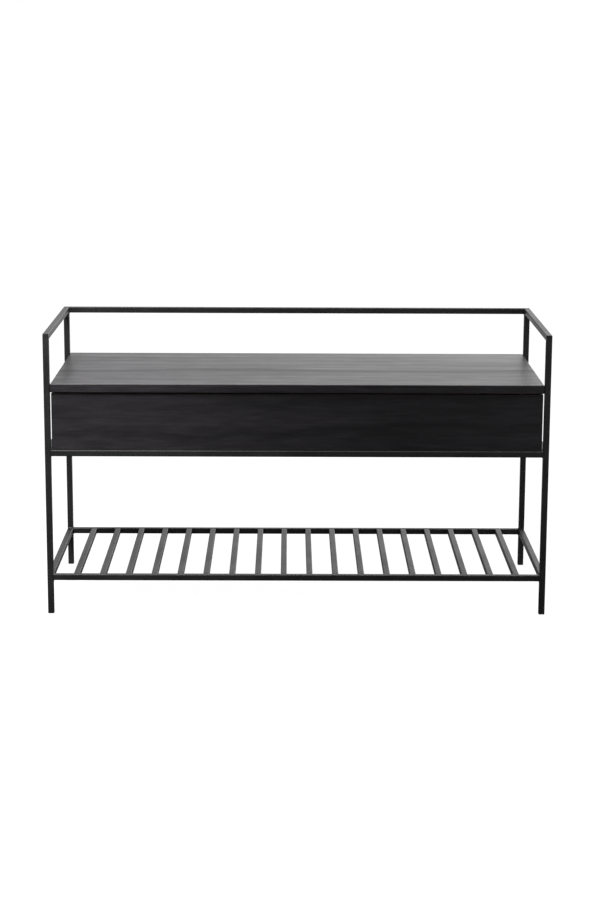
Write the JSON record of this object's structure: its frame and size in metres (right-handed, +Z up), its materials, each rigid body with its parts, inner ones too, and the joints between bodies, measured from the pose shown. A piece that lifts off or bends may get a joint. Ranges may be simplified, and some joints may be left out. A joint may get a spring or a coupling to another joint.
{
  "type": "entryway bench",
  "caption": "Entryway bench with a black square-tube frame, slatted shoe shelf, dark wood storage box and a hinged lift-up seat lid.",
  "frame": {"origin": "on the floor, midway between the four legs", "axes": "+Z up, front of the bench towards -Y, +X to the right as seen from the front"},
  "size_m": [1, 0.4, 0.568],
  "materials": {
    "frame_black": "black satin powder coat",
    "wood_dark": "black-brown stain under satin lacquer",
    "floor_board": "stained plywood",
    "dowel_beech": "raw beech",
    "cap_plastic": "black moulded plastic",
    "bumper_rubber": "black rubber",
    "hinge_steel": "zinc-plated steel",
    "screw_steel": "zinc-plated steel"
  },
  "bodies": {
    "bench": {"front_leg_left": "frame_black", "front_leg_right": "frame_black", "rear_leg_left": "frame_black", "rear_leg_right": "frame_black", "arm_rail_left": "frame_black", "arm_rail_right": "frame_black", "back_rail": "frame_black", "seat_rail_front": "frame_black", "seat_rail_rear": "frame_black", "seat_rail_left": "frame_black", "seat_rail_right": "frame_black", "shelf_rail_front": "frame_black", "shelf_rail_rear": "frame_black", "shelf_rail_left": "frame_black", "shelf_rail_right": "frame_black", "shelf_slat_01": "frame_black", "shelf_slat_02": "frame_black", "shelf_slat_03": "frame_black", "shelf_slat_04": "frame_black", "shelf_slat_05": "frame_black", "shelf_slat_06": "frame_black", "shelf_slat_07": "frame_black", "shelf_slat_08": "frame_black", "shelf_slat_09": "frame_black", "shelf_slat_10": "frame_black", "shelf_slat_11": "frame_black", "shelf_slat_12": "frame_black", "shelf_slat_13": "frame_black", "shelf_slat_14": "frame_black", "shelf_slat_15": "frame_black", "shelf_slat_16": "frame_black", "shelf_slat_17": "frame_black", "shelf_slat_18": "frame_black", "box_bar_left": "frame_black", "box_bar_middle": "frame_black", "box_bar_right": "frame_black", "foot_cap_front_left": "cap_plastic", "foot_cap_front_right": "cap_plastic", "foot_cap_rear_left": "cap_plastic", "foot_cap_rear_right": "cap_plastic", "box_front_panel": "wood_dark", "box_rear_panel": "wood_dark", "box_side_panel_left": "wood_dark", "box_side_panel_right": "wood_dark", "box_floor": "floor_board", "box_dowels": "dowel_beech", "lid_bumpers": "bumper_rubber", "hinge_box_leaf_left": "hinge_steel", "hinge_box_leaf_middle": "hinge_steel", "hinge_box_leaf_right": "hinge_steel", "hinge_pins": "hinge_steel", "hinge_screws_box": "screw_steel", "box_screws": "screw_steel"},
    "lid": {"lid": "wood_dark", "hinge_lid_leaf_left": "hinge_steel", "hinge_lid_leaf_middle": "hinge_steel", "hinge_lid_leaf_right": "hinge_steel", "hinge_screws_lid": "screw_steel"}
  },
  "joints": [
    {"name": "lid_hinge", "type": "hinge", "parent": "bench", "child": "lid", "pos_m": [0, 0.1575, 0.4482], "axis": [-1, 0, 0], "range_deg": [0, 95]}
  ]
}
